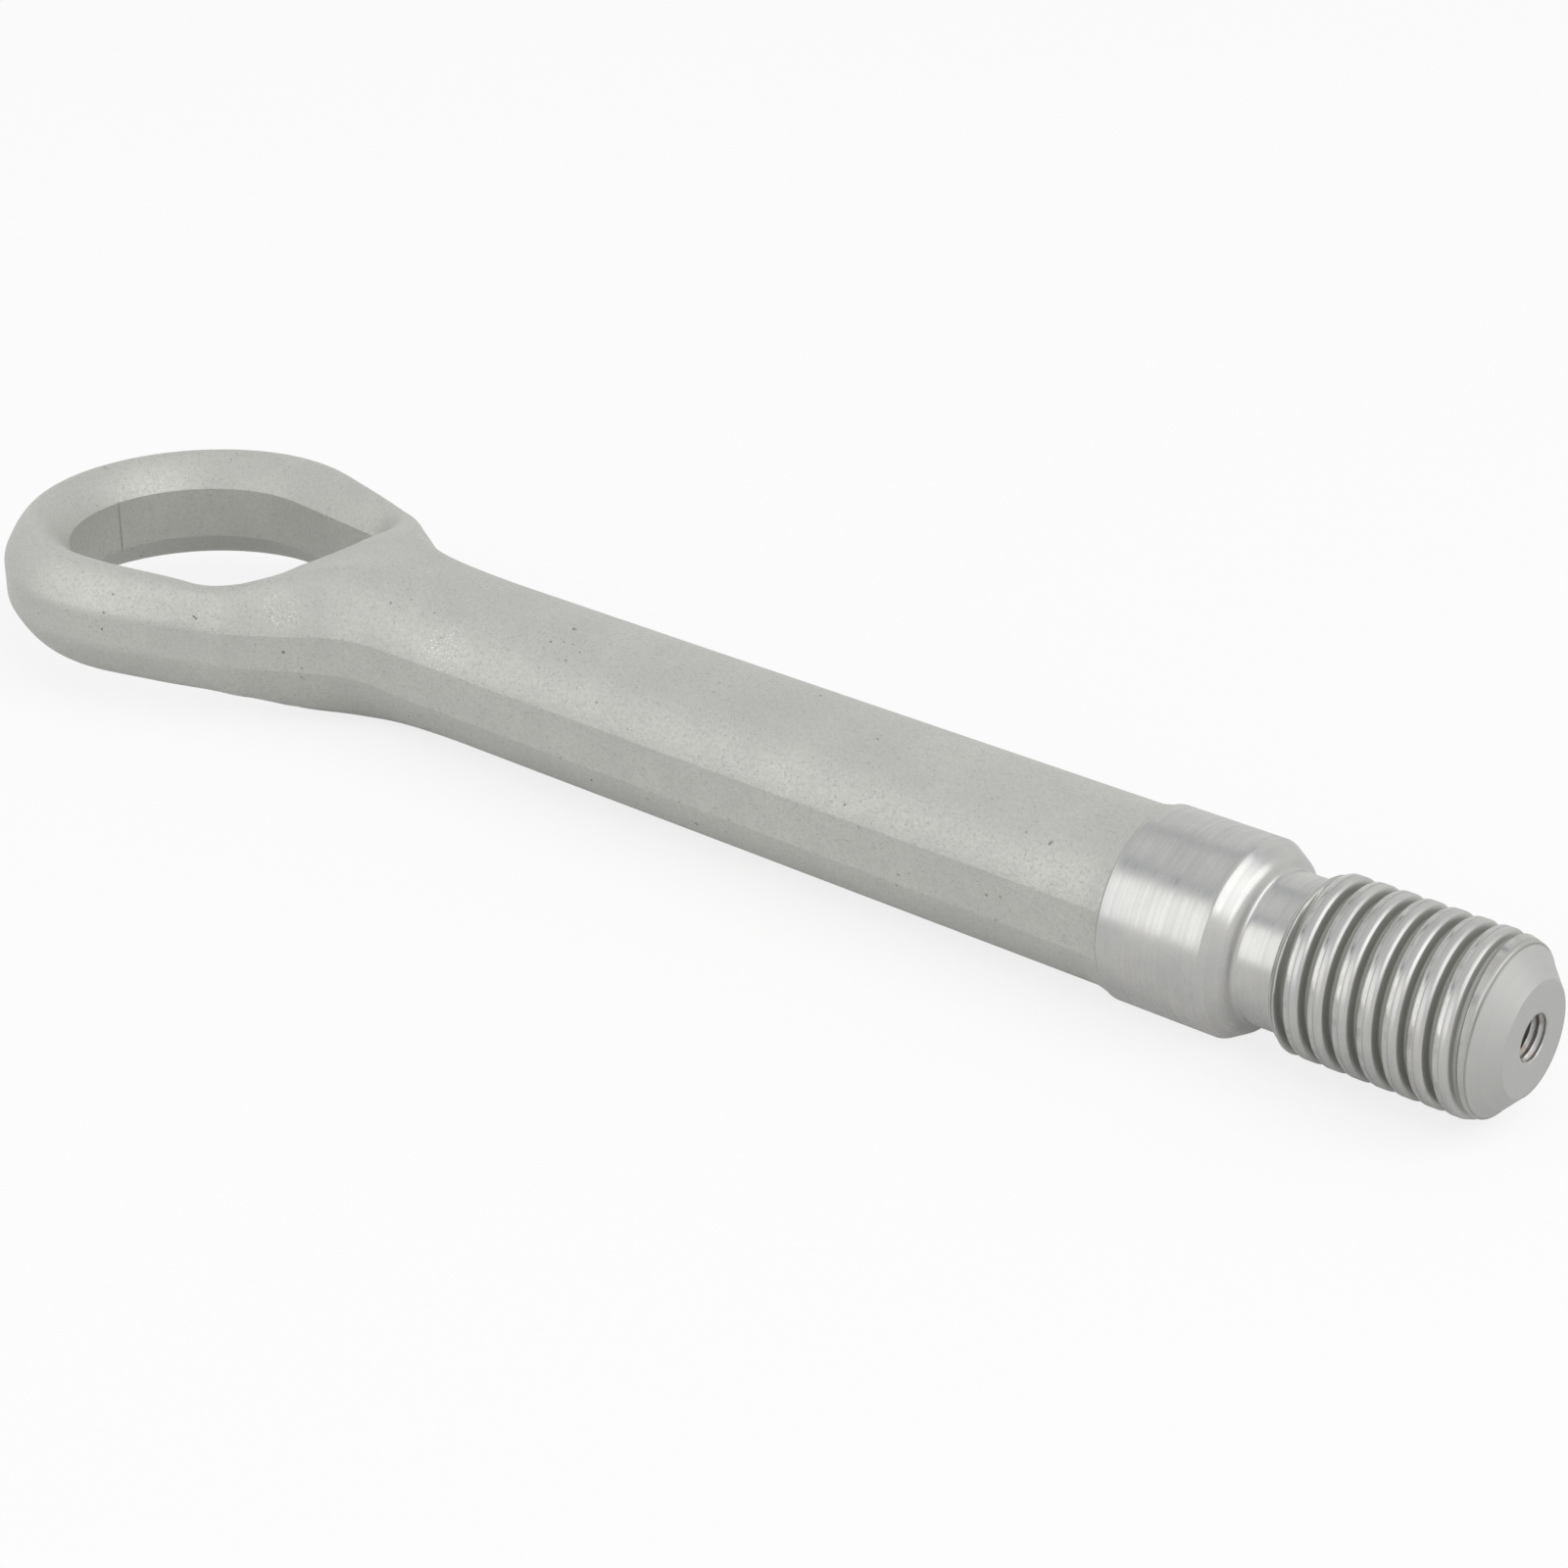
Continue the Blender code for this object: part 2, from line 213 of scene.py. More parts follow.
@dataclass
class Forging:
    """The forged eye and shank, symmetric about the parting plane and the middle plane.

    Sizes are in mm, and places lie along the axis from the collar's rear
    face. A name ends in _d for a diameter, _r for a radius, _l for a length,
    _t for a thickness, and _x, _y, _start or _end for a place.
    """

    placing: Placing
    shank_d: float = 18.68
    flat_cut: float = 0.34
    flare_l: float = 2.6
    flare_d: float = 19.6
    flare_end: float = 0.3
    hidden_share: float = 0.4
    collar_l: float = 11.35
    ring_x: float = -136.1
    ring_r: float = 22.69
    shoulder_x: float = -118.2
    shoulder_y: float = 8.1
    shoulder_r: float = 9.4
    throat_slope: float = 32.0
    throat_r: float = 12.0
    hole_x: float = -136.7
    hole_r: float = 14.7
    hole_end: float = -116.2
    hole_corner_y: float = 8.5
    hole_corner_r: float = 4.5
    ring_t: float = 13.8
    ring_band: float = 4.4
    ring_crown: float = 4.2
    crease_r: float = 3.0
    crease_start: float = -124.0
    crease_end: float = -108.0
    top_start: float = -132.0
    top_end: float = -108.0
    edge_start: float = -113.0
    edge_end: float = -87.0
    wall_t: float = 6.2
    wall_slope: float = 5.2
    web_start: float = -119.6
    web_end: float = -103.2
    web_t: float = 8.5
    web_slope: float = 14.5
    slope_power: float = 2.0
    arc_steps: int = 90
    shoulder_steps: int = 12
    corner_steps: int = 24
    ring_steps: int = 150
    hole_end_steps: int = 20
    throat_steps: int = 70
    lead_power: float = 1.25
    shank_steps: int = 24
    flare_steps: int = 15
    across_steps: int = 40
    crease_step: float = 0.3
    ease_rows: int = 2
    ease_passes: int = 4
    wall_shares: tuple[float, ...] = (0.0, 0.25, 0.5, 0.72, 0.88, 0.96, 1.0)
    blend_rows: int = 30
    plain_rows: int = 4

    @property
    def flat(self) -> float:
        """Half of the width across the shank's flats."""
        return 0.5 * self.shank_d - self.flat_cut

    def hole_outline(self) -> np.ndarray:
        """Half of the hole: an arc, its tangent side and a corner arc.

        Returns:
            Points from the round end to the flat end.
        """
        cx = self.hole_end - self.hole_corner_r
        turn = tangent_turn(cx - self.hole_x, self.hole_corner_y, self.hole_r, self.hole_corner_r)
        return np.vstack([
            arc(self.hole_x, 0.0, self.hole_r, math.pi, turn, self.arc_steps),
            arc(cx, self.hole_corner_y, self.hole_corner_r, turn, 0.0, self.corner_steps),
        ])

    def throat_centre(self) -> tuple[float, float]:
        """Centre of the arc tangent to the sloping side and to the shank's flat."""
        slope = math.radians(self.throat_slope)
        nx, ny = math.sin(slope), math.cos(slope)
        level = nx * self.shoulder_x + ny * self.shoulder_y + self.shoulder_r
        cy = self.flat + self.throat_r
        return (level + self.throat_r - ny * cy) / nx, cy

    def outer_outline(self) -> np.ndarray:
        """Half of the outline: ring arc, tangent, shoulder arc, slope and throat arc.

        Returns:
            Points from the round end to the shank's flat.
        """
        cx, cy = self.throat_centre()
        turn = tangent_turn(self.shoulder_x - self.ring_x, self.shoulder_y, self.ring_r, self.shoulder_r)
        normal = 0.5 * math.pi - math.radians(self.throat_slope)
        return np.vstack([
            arc(self.ring_x, 0.0, self.ring_r, math.pi, turn, self.arc_steps),
            arc(self.shoulder_x, self.shoulder_y, self.shoulder_r, turn, normal, self.shoulder_steps),
            arc(cx, cy, self.throat_r, normal + math.pi, 1.5 * math.pi, self.corner_steps),
        ])

    def height(self, points: np.ndarray) -> np.ndarray:
        """Half thickness over the parting plane.

        The full height, times a rise from the trimmed band over the crown's
        width, a parabola on the ring that turns into the bar's circle, times a
        parabolic rise from the hole's wall over the slope's width.

        Args:
            points: Plan points.

        Returns:
            One height for each point.
        """
        shank = 0.5 * self.shank_d
        along = points[:, 0]
        top = between(smooth_step(along, self.top_start, self.top_end), 0.5 * self.ring_t, shank)
        edge_share = smooth_step(along, self.edge_start, self.edge_end)
        edge = between(edge_share, 0.5 * self.ring_band, math.sqrt(shank ** 2 - self.flat ** 2))
        crown = between(edge_share, self.ring_crown, self.flat)
        web_share = smooth_step(along, self.web_start, self.web_end)
        wall = between(web_share, 0.5 * self.wall_t, 0.5 * self.web_t)
        slope = between(web_share, self.wall_slope, self.web_slope)
        outline = np.vstack([self.outer_outline(), [[0.0, self.flat]]])
        hole = np.vstack([self.hole_outline(), [[self.hole_end, 0.0]]])
        away = distance(points, outline)
        near_edge = np.clip(1.0 - away / crown, 0.0, 1.0)
        near_hole = np.clip(1.0 - distance(points, hole) / slope, 0.0, 1.0)
        soft = 1.0 - (1.0 - edge / top) * near_edge ** 2
        round_bar = np.sqrt(1.0 - (1.0 - (edge / top) ** 2) * near_edge ** 2)
        outer = between(edge_share, soft, round_bar)
        inner = 1.0 - (1.0 - wall / top) * near_hole ** self.slope_power
        return top * outer * inner - self.crease(away, along)

    def crease(self, away: np.ndarray, along: np.ndarray) -> np.ndarray:
        """Drop that rounds the ring's crease at the trimmed band.

        The rounding is an arc tangent to the band and to the crown. The drop is
        the straight crown less the arc, over the arc's width, and fades out at
        the shoulder, where the crease is sharp.

        Args:
            away: Distances from the outline.
            along: Places along the axis.

        Returns:
            One drop for each point.
        """
        slope = (self.ring_t - self.ring_band) / self.ring_crown
        lean = math.atan(1.0 / slope)
        width = self.crease_r * (1.0 - math.cos(lean))
        near = np.clip(away, 0.0, width)
        rise = np.sqrt(near * (2.0 * self.crease_r - near))
        drop = slope * (near - width) + self.crease_r * math.sin(lean) - rise
        return drop * (1.0 - smooth_step(along, self.crease_start, self.crease_end))

    def even_shares(self) -> np.ndarray:
        """Shares across the surface: even steps with one close step at the crease."""
        even = np.linspace(0.0, 1.0, self.across_steps + 1)
        return np.concatenate([[0.0, self.crease_step / self.across_steps], even[1:]])

    def plan(self) -> np.ndarray:
        """Plan points in rows from the outline in to the hole or the axis.

        Returns:
            Array of rows, columns and two coordinates.
        """
        last = max(self.throat_centre()[0], self.top_end, self.edge_end, self.web_end)
        side = resample(self.hole_outline(), np.linspace(0.0, 1.0, self.ring_steps + 1))
        drop = np.linspace(self.hole_corner_y, 0.0, self.hole_end_steps + 1)[1:]
        lead = np.linspace(0.0, 1.0, self.throat_steps + 1)[1:] ** self.lead_power
        inner = np.vstack([
            side,
            np.column_stack([np.full(self.hole_end_steps, self.hole_end), drop]),
            np.column_stack([self.hole_end + (last - self.hole_end) * lead, np.zeros(self.throat_steps)]),
        ])
        line = self.outer_outline()
        throat = self.corner_steps + 1
        rest = np.vstack([line[-throat - 1:], [[last, self.flat]]])
        tail = self.hole_end_steps + self.throat_steps
        outer = np.vstack([
            resample(line[:-throat], np.linspace(0.0, 1.0, self.ring_steps + 1)),
            resample(rest, np.linspace(0.0, 1.0, tail + 1))[1:],
        ])
        even = self.even_shares()
        ring_share = 0.5 - 0.5 * np.cos(math.pi * even)
        reach = math.asin(self.flat / (0.5 * self.shank_d))
        bar_share = 1.0 - np.sin(reach * (1.0 - even)) / math.sin(reach)
        index = np.arange(len(inner), dtype=float)
        turn = smooth_step(index, float(self.ring_steps), len(inner) - 1.0)[:, None]
        share = (ring_share * (1.0 - turn) + bar_share * turn)[..., None]
        return outer[:, None] * (1.0 - share) + inner[:, None] * share

    def eased(self, tall: np.ndarray) -> np.ndarray:
        """Heights with the changes along the eye eased, as a forging die leaves them.

        Each height becomes the mean of its neighbours along the rows, in a few
        passes, and the share of this falls to none over the last rows at the
        bar.

        Args:
            tall: Heights in rows along the eye.

        Returns:
            The eased heights.
        """
        reach = self.ease_rows
        soft = tall
        for _ in range(self.ease_passes):
            padded = np.concatenate([soft[reach:0:-1], soft, np.repeat(soft[-1:], reach, axis=0)])
            total = np.cumsum(np.concatenate([np.zeros((1, soft.shape[1])), padded]), axis=0)
            soft = (total[2 * reach + 1:] - total[:-2 * reach - 1]) / (2 * reach + 1)
        rows = np.arange(len(tall), dtype=float)[:, None]
        share = 1.0 - smooth_step(rows, len(tall) - self.blend_rows, len(tall) - self.plain_rows)
        return tall + (soft - tall) * share

    def bar(self, start: float) -> np.ndarray:
        """The round bar from the throat to its closed end inside the collar, with its flare.

        Args:
            start: Where the bar begins along the axis.

        Returns:
            Grid of points round a quarter of the bar.
        """
        hidden = self.hidden_share * self.collar_l
        along = np.concatenate([
            np.linspace(start, -self.flare_l, self.shank_steps),
            np.linspace(-self.flare_l, 0.0, self.flare_steps + 1)[1:],
            [hidden, hidden],
        ])
        grow = smooth_step(along, -self.flare_l, self.flare_end) * (self.flare_d - self.shank_d)
        radius = 0.5 * (self.shank_d + grow)
        radius[-1] = 0.0
        reach = math.asin(self.flat / (0.5 * self.shank_d))
        angles = reach * (1.0 - self.even_shares())
        y = radius[:, None] * np.sin(angles)
        z = radius[:, None] * np.cos(angles)
        return np.stack([np.broadcast_to(along[:, None], y.shape), y, z], axis=-1)

    def quarter(self) -> list[np.ndarray]:
        """Grids of one quarter: the upper surface, the trimmed band and the hole's wall.

        Returns:
            The three grids in the axis frame, in mm.
        """
        plan = self.plan()
        tall = self.eased(self.height(plan.reshape(-1, 2)).reshape(plan.shape[:2]))
        eye = np.concatenate([plan, tall[..., None]], axis=-1)
        upper = np.concatenate([eye, self.bar(float(eye[-1, 0, 0]))[1:]])
        rim = upper[: self.ring_steps + self.hole_end_steps + 1, -1]
        return [upper, self.upright(upper[:, 0]), self.upright(rim)]

    def upright(self, edge: np.ndarray) -> np.ndarray:
        """Upright wall from the parting plane to an edge, with rows closer at the edge.

        Args:
            edge: Points along the wall's upper edge.

        Returns:
            Grid of the edge's points at each share of their height.
        """
        shares = np.array(self.wall_shares)[:, None, None]
        foot = edge[None] * np.array([1.0, 1.0, 0.0])
        return foot + edge[None] * np.array([0.0, 0.0, 1.0]) * shares

    def build(self) -> bpy.types.Object:
        """Mirror the quarter into the whole forging.

        Returns:
            The forging as one object.
        """
        stock = MeshStock()
        for grid in self.quarter():
            for side in Side:
                for up in (1.0, -1.0):
                    turned = grid * np.array([1.0, side.value, up])
                    stock.grid(self.placing.to_part(turned))
        return stock.piece("forging")


@dataclass
class TurnedEnd:
    """The collar, nose, neck, right-hand thread, tip and tapped end hole.

    Sizes and places are given as in Forging.
    """

    placing: Placing
    collar_d: float = 20.0
    collar_l: float = 11.35
    collar_edge: float = 0.12
    nose_d: float = 17.9
    nose_l: float = 2.65
    nose_edge: float = 0.35
    nose_step: float = 0.5
    neck_d: float = 15.35
    neck_l: float = 4.1
    neck_fillet: float = 0.5
    thread_d: float = 17.95
    pitch: float = 2.6
    depth: float = 1.15
    thread_start: float = 19.2
    thread_end: float = 37.2
    run_in_d: float = 17.0
    run_in_l: float = 0.58
    ridge_l: float = 0.3
    notch_l: float = 0.43
    notch_t: float = 0.16
    rise_before: float = 0.7
    rise_after: float = 0.5
    mouth: float = 0.98
    lip_inner: float = 0.03
    lip_outer: float = 0.04
    lip_drop: float = 0.1
    floor: float = 0.5
    crest_flat: float = 1.0
    crest_drop: float = 0.16
    seam: float = 0.05
    seam_w: float = 0.05
    run_out: float = 0.72
    run_out_l: float = 1.6
    crest_end: float = 38.74
    crest_end_d: float = 17.0
    tip_d: float = 16.45
    tip_end: float = 38.9
    end_d: float = 11.5
    end: float = 41.15
    groove_start: float = 17.0
    turns: int = 8
    hole_d: float = 4.76
    hole_depth: float = 8.0
    hole_pitch: float = 0.8
    hole_bevel: float = 0.18
    hole_bevel_l: float = 0.12
    hole_floor_l: float = 1.5
    tooth_low: float = 0.22
    tooth_t: float = 0.4
    tooth_cut: float = 0.1
    hole_steps: int = 100
    rear_share: float = 0.42
    rounding: float = 0.1
    round_steps: int = 180
    face_steps: int = 12
    tip_steps: int = 14

    def outline(self) -> np.ndarray:
        """Corners of the turned profile as (length, radius).

        Returns:
            Array of corners from the collar's rear edge to the end face's edge.
        """
        nose = self.collar_l + self.nose_l
        neck = 0.5 * self.neck_d
        neck_end = nose + self.neck_l
        run_in = 0.5 * self.run_in_d
        return np.array([
            (0.0, 0.5 * self.collar_d - self.collar_edge),
            (self.collar_edge, 0.5 * self.collar_d),
            (self.collar_l, 0.5 * self.collar_d),
            (nose - self.nose_step - self.nose_edge, 0.5 * self.nose_d),
            (nose - self.nose_step, 0.5 * self.nose_d - self.nose_edge),
            (nose - 0.5 * self.nose_step, neck + self.neck_fillet),
            (nose, neck + 0.2 * self.neck_fillet),
            (nose + 0.5 * self.nose_step, neck),
            (neck_end, neck),
            (neck_end + self.ridge_l, run_in),
            (neck_end + self.notch_l, run_in - self.notch_t),
            (neck_end + self.run_in_l, run_in),
            (self.thread_start, 0.5 * self.thread_d),
            (self.thread_end, 0.5 * self.thread_d),
            (self.crest_end, 0.5 * self.crest_end_d),
            (self.tip_end, 0.5 * self.tip_d),
            (self.end, 0.5 * self.end_d),
        ])

    def blank(self, along: np.ndarray) -> np.ndarray:
        """Radius before the thread is cut: the outline with its corners rounded.

        The rounding is the mean of the outline at five places, from one
        rounding length before to one after.

        Args:
            along: Places along the axis.

        Returns:
            One radius for each place.
        """
        corners = self.outline()
        reads = []
        for offset in np.linspace(-self.rounding, self.rounding, 5):
            place = np.clip(along + offset, 0.0, self.end)
            reads.append(np.interp(place, corners[:, 0], corners[:, 1]))
        return np.mean(reads, axis=0)

    def groove(self, along: np.ndarray, angle: np.ndarray) -> np.ndarray:
        """Radius of the helical groove, read at the place in its own pitch.

        The place is the length less the pitch times the turns made, folded
        into half a pitch each way.

        Args:
            along: Places along the axis.
            angle: Angles round the axis.

        Returns:
            One radius for each place.
        """
        half = 0.5 * self.pitch
        place = along - self.groove_start + half - self.pitch * angle / TURN
        place = np.abs(np.mod(place + half, self.pitch) - half)
        crest = 0.5 * self.thread_d
        lip = 0.5 * self.mouth
        edge = 0.5 * (self.pitch - self.crest_flat)
        profile = np.array([
            (0.0, self.depth),
            (0.5 * self.floor, self.depth),
            (lip - self.lip_inner, self.crest_drop + self.lip_drop),
            (lip + self.lip_outer, self.crest_drop),
            (edge, 0.0),
            (half - self.seam_w, 0.0),
            (half, self.seam),
        ])
        drop = np.interp(place, profile[:, 0], profile[:, 1])
        fade = smooth_step(along, self.thread_end - self.run_out_l, self.thread_end)
        rise = smooth_step(along, self.thread_start - self.rise_before, self.thread_start + self.rise_after)
        return crest - drop * (1.0 - (1.0 - self.run_out) * fade) * rise

    def shell(self, along: np.ndarray, angle: np.ndarray) -> np.ndarray:
        """Points on the threaded surface, the lower of the blank and the groove.

        Args:
            along: Places along the axis.
            angle: Angles round the axis, of the same shape.

        Returns:
            Grid of points in the part's frame.
        """
        return self.wound(along, np.minimum(self.blank(along), self.groove(along, angle)), angle)

    def wound(self, along: np.ndarray, radius: np.ndarray, angle: np.ndarray) -> np.ndarray:
        """Grid at (length, radius times cos, radius times sin) in the part's frame."""
        grid = np.stack([along, radius * np.cos(angle), radius * np.sin(angle)], axis=-1)
        return self.placing.to_part(grid)

    def rings(self, along: np.ndarray) -> np.ndarray:
        """Straight rings at the given places."""
        angle = np.linspace(0.0, TURN, self.round_steps + 1)
        place, turn = np.meshgrid(along, angle, indexing="ij")
        return self.wound(place, self.blank(place), turn)

    def thread(self) -> list[np.ndarray]:
        """A ribbon along the helix, a pitch wide, with a wedge at each end.

        Its rows lie close together at the groove's foot and lip and at the
        crest's seam.

        Returns:
            The three grids.
        """
        start = self.groove_start
        half = 0.5 * self.pitch
        lip = 0.5 * self.mouth
        foot = 0.5 * self.floor
        one = np.array([
            0.0, foot - 0.04, foot + 0.04, 0.5 * (lip + foot), lip - self.lip_inner, lip + 0.005,
            lip + self.lip_outer, lip + 0.12, lip + 0.22, half - 0.5 * self.crest_flat,
            half - 0.34, half - 0.18, half - 0.12, half - self.seam_w, half,
        ])
        across = half + np.concatenate([-one[::-1], one[1:]])
        once = np.linspace(0.0, TURN, self.round_steps + 1)
        low, angle = np.meshgrid(across / self.pitch, once, indexing="ij")
        first = self.shell(start + low * self.pitch * angle / TURN, angle)
        full = np.linspace(0.0, TURN * self.turns, self.round_steps * self.turns + 1)
        place, run = np.meshgrid(across, full, indexing="ij")
        ribbon = self.shell(start + place + self.pitch * run / TURN, run)
        end = start + self.pitch * (self.turns + 1)
        edge = start + self.pitch * self.turns + self.pitch * angle / TURN
        last = self.shell(edge + low * (end - edge), angle)
        return [first, ribbon, last]

    def end_face(self) -> np.ndarray:
        """The end face, the hole's countersink, its fine thread and its drilled floor.

        The thread's tooth is a triangle wave of the length over the fine pitch
        less the turns made.

        Returns:
            Grid from the face's edge in to the bottom of the hole.
        """
        hole = 0.5 * self.hole_d
        edge = float(self.blank(np.array([self.end]))[0])
        face = np.linspace(edge, hole + self.hole_bevel, self.face_steps)
        depth = np.linspace(0.0, self.hole_depth, self.hole_steps)
        along = np.concatenate([
            np.full(self.face_steps, self.end),
            self.end - self.hole_bevel_l - depth,
            [self.end - self.hole_depth - self.hole_floor_l],
        ])
        angle = np.linspace(0.0, TURN, self.round_steps + 1)
        length, turn = np.meshgrid(along, angle, indexing="ij")
        wave = np.mod(length / self.hole_pitch - turn / TURN, 1.0)
        tooth = hole - self.tooth_low + self.tooth_t * np.abs(2.0 * wave - 1.0)
        tooth = np.minimum(tooth, hole + self.tooth_cut)
        radius = np.concatenate([
            np.broadcast_to(face[:, None], (self.face_steps, len(angle))),
            tooth[self.face_steps:-1],
            np.zeros((1, len(angle))),
        ])
        return self.wound(length, radius, turn)

    def rear_face(self) -> np.ndarray:
        """The face behind the collar, from its edge in through the forging to the axis."""
        angle = np.linspace(0.0, TURN, self.round_steps + 1)
        edge = float(self.blank(np.zeros(1))[0])
        radius, turn = np.meshgrid([edge, self.rear_share * self.collar_d, 0.0], angle, indexing="ij")
        return self.wound(np.zeros_like(turn), radius, turn)

    def build(self) -> bpy.types.Object:
        """Join the turned surfaces into one piece.

        The rings before the thread come in spans of a start, an end and a
        count, closer together where the outline bends.

        Returns:
            The turned end as one object.
        """
        stock = MeshStock()
        collar = self.collar_l
        nose = collar + self.nose_l
        spans = (
            (0.0, 0.5, 6),
            (1.0, collar - 0.5, 12),
            (collar - 0.4, collar + 0.4, 9),
            (collar + 0.7, nose - 0.4, 8),
            (nose - 0.3, nose + 0.8, 14),
            (nose + 0.95, self.groove_start, 5),
        )
        stock.grid(self.rear_face())
        stock.grid(self.rings(np.concatenate([np.linspace(*span) for span in spans])))
        for grid in self.thread():
            stock.grid(grid)
        tip = self.groove_start + self.pitch * (self.turns + 1)
        stock.grid(self.rings(np.linspace(tip, self.end, self.tip_steps)))
        stock.grid(self.end_face())
        return stock.piece("turned_end")


class Wire:
    """A socket of the shader that takes part in Python sums."""

    def __init__(self, kit: "ShaderKit", socket: Any) -> None:
        """Hold the tree's kit and the socket."""
        self.kit = kit
        self.socket = socket

    def _math(self, operation: str, first: Any, second: Any) -> "Wire":
        """Add a Math node for two terms."""
        return self.kit.node("ShaderNodeMath", {"operation": operation}, {0: first, 1: second})

    def __add__(self, other: Any) -> "Wire":
        """Sum."""
        return self._math("ADD", self, other)

    def __radd__(self, other: Any) -> "Wire":
        """Sum, reflected."""
        return self._math("ADD", other, self)

    def __sub__(self, other: Any) -> "Wire":
        """Difference."""
        return self._math("SUBTRACT", self, other)

    def __rsub__(self, other: Any) -> "Wire":
        """Difference, reflected."""
        return self._math("SUBTRACT", other, self)

    def __mul__(self, other: Any) -> "Wire":
        """Product."""
        return self._math("MULTIPLY", self, other)

    def __rmul__(self, other: Any) -> "Wire":
        """Product, reflected."""
        return self._math("MULTIPLY", other, self)

    def turn(self, across: "Wire") -> "Wire":
        """Angle whose tangent is this value over the other."""
        return self._math("ARCTAN2", self, across)

    def root(self) -> "Wire":
        """Square root."""
        return self._math("SQRT", self, 0.0)

    def fraction(self) -> "Wire":
        """Part over the whole number below."""
        return self._math("FRACT", self, 0.0)


class ShaderKit:
    """Adds nodes to one material's tree."""

    def __init__(self, name: str) -> None:
        """Start a material with an empty tree."""
        self.material = bpy.data.materials.new(name)
        self.material.use_nodes = True
        self.tree = self.material.node_tree
        self.tree.nodes.clear()

    @classmethod
    def of_tree(cls, tree: Any) -> "ShaderKit":
        """Kit that adds nodes to a tree that already stands, such as the world's."""
        kit = cls.__new__(cls)
        kit.tree = tree
        return kit

    def node(self, kind: str, settings: dict[str, Any], values: dict[Any, Any], output: Any = 0) -> Wire:
        """Add one node.

        Args:
            kind: The node's type.
            settings: Properties set before the sockets.
            values: A value or a wire for each named or numbered input.
            output: Which output to return.

        Returns:
            The chosen output as a wire.
        """
        made = self.tree.nodes.new(kind)
        for key, value in settings.items():
            setattr(made, key, value)
        for key, value in values.items():
            if isinstance(value, Wire):
                self.tree.links.new(value.socket, made.inputs[key])
            else:
                made.inputs[key].default_value = value
        return Wire(self, made.outputs[output])

    def place(self) -> Wire:
        """Object coordinates."""
        return self.node("ShaderNodeTexCoord", {}, {}, "Object")

    def part(self, at: Wire, axis: str) -> Wire:
        """One coordinate of a place."""
        return self.node("ShaderNodeSeparateXYZ", {}, {"Vector": at}, axis)

    def millimetres(self, at: Wire, axis: str) -> Wire:
        """One coordinate of a place in mm."""
        return self.part(at, axis) * (1.0 / MM)

    def rays(self) -> tuple[Wire, Wire, Wire]:
        """Whether a ray comes from the camera, a shine or a clear body."""
        names = ("Is Camera Ray", "Is Glossy Ray", "Is Transmission Ray")
        seen, shine, clear = (self.node("ShaderNodeLightPath", {}, {}, name) for name in names)
        return seen, shine, clear

    def noise(self, at: Wire, scale: float, detail: float = 3.0, roughness: float = 0.5) -> Wire:
        """Value noise at a scale in waves a metre."""
        values = {"Vector": at, "Scale": scale, "Detail": detail, "Roughness": roughness}
        return self.node("ShaderNodeTexNoise", {}, values, "Fac")

    def clamp_range(
        self, value: Wire, low: float, high: float, to_low: float = 0.0, to_high: float = 1.0,
    ) -> Wire:
        """Map a range to another, else to 0 and 1, and clamp it."""
        values = {"Value": value, "From Min": low, "From Max": high, "To Min": to_low, "To Max": to_high}
        return self.node("ShaderNodeMapRange", {"clamp": True}, values, "Result")

    def blend(self, factor: Any, first: Any, second: Any) -> Wire:
        """Mix two colours."""
        return self.node("ShaderNodeMix", {"data_type": "RGBA"}, {0: factor, 6: first, 7: second}, 2)

    def bump(self, height: Wire, distance_m: float, strength: float = 1.0) -> Wire:
        """Bump from a height."""
        values = {"Height": height, "Distance": distance_m, "Strength": strength}
        return self.node("ShaderNodeBump", {}, values, "Normal")

    def finish(self, values: dict[str, Any]) -> bpy.types.Material:
        """Close the tree with a Principled shader.

        Args:
            values: Values or wires for the shader's sockets.

        Returns:
            The material.
        """
        shader = self.node("ShaderNodeBsdfPrincipled", {}, values, "BSDF")
        self.node_output(shader)
        return self.material

    def node_output(self, shader: Wire) -> None:
        """Link the shader to the material output."""
        made = self.tree.nodes.new("ShaderNodeOutputMaterial")
        self.tree.links.new(shader.socket, made.inputs["Surface"])


